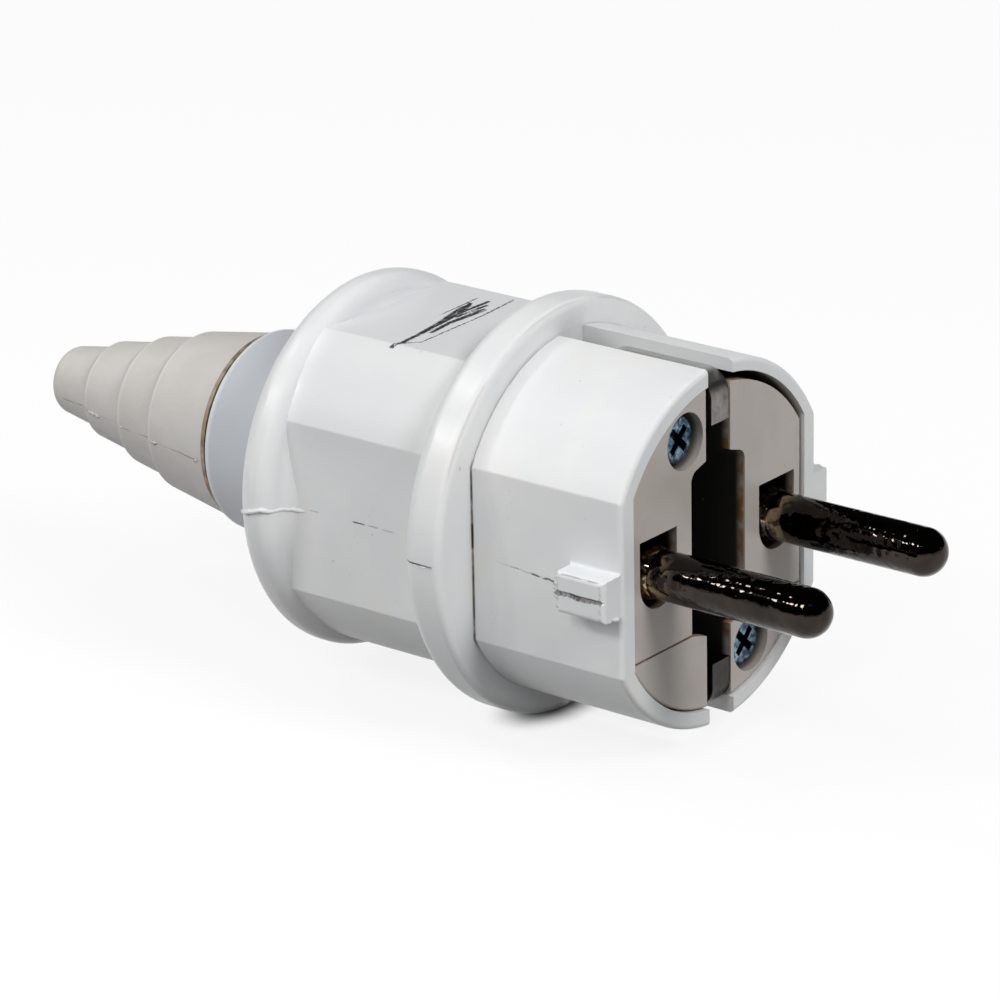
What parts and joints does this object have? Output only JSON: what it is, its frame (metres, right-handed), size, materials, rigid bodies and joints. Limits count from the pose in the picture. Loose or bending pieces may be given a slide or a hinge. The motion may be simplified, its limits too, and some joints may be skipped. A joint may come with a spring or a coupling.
{
  "type": "electrical plug",
  "caption": "Straight earthed mains plug with round pins, a flat-sided nose with side earth contacts, a ringed grip body and a stepped cable boot.",
  "frame": {"origin": "centre of the contact face, level with the front of the housing's rim and midway between the pins", "axes": "+X out along the pins, +Y along the row of pins, +Z square to both, with the upper pin carrier on its side"},
  "size_m": [0.1025, 0.0414, 0.0414],
  "materials": {
    "shell_plastic": "white moulded, half gloss",
    "boot_rubber": "warm grey, matt",
    "carrier_plastic": "beige-grey moulded, half gloss",
    "pin_metal": "dark plated, polished",
    "strap_metal": "grey plated, dull",
    "screw_zinc": "bluish zinc"
  },
  "bodies": {
    "root": {"housing": "shell_plastic", "cable_boot": "boot_rubber", "upper_pin_carrier": "carrier_plastic", "lower_pin_carrier": "carrier_plastic", "line_pin": "pin_metal", "neutral_pin": "pin_metal", "line_terminal_screw": "screw_zinc", "neutral_terminal_screw": "screw_zinc", "earth_strap": "strap_metal", "earth_clamp_washer": "screw_zinc", "earth_terminal_screw": "screw_zinc", "upper_carrier_screw": "screw_zinc", "lower_carrier_screw": "screw_zinc", "cord_clamp_saddle": "carrier_plastic", "left_cord_clamp_screw": "screw_zinc", "right_cord_clamp_screw": "screw_zinc"}
  },
  "joints": []
}
